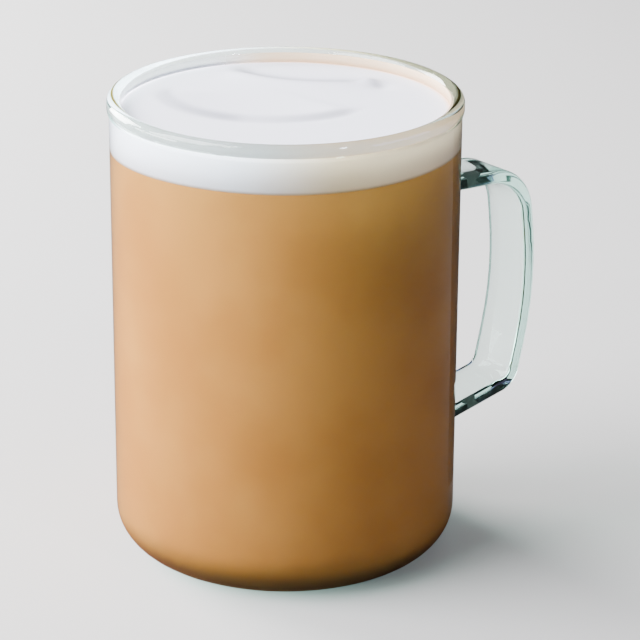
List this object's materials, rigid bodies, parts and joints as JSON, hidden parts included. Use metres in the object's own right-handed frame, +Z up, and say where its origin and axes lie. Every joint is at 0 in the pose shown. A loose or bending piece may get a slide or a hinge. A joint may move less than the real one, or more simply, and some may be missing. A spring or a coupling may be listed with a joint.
{
  "type": "latte",
  "caption": "Latte with a pale foam layer, filled almost to the brim of a straight-sided clear glass mug with a rounded base, a beaded rim and a flat strap handle.",
  "frame": {"origin": "centre of the mug's flat base, on the mug's axis", "axes": "+Z up through the drink, +X towards the handle, +Y across the handle"},
  "size_m": [0.1169, 0.084, 0.113],
  "materials": {
    "glass": "clear, polished, faint green tint at the edges",
    "coffee": "opaque milky coffee, smooth",
    "foam": "fine smooth milk foam, soft sheen"
  },
  "bodies": {
    "root": {"mug": "glass", "latte": "coffee", "foam": "foam"}
  },
  "joints": []
}
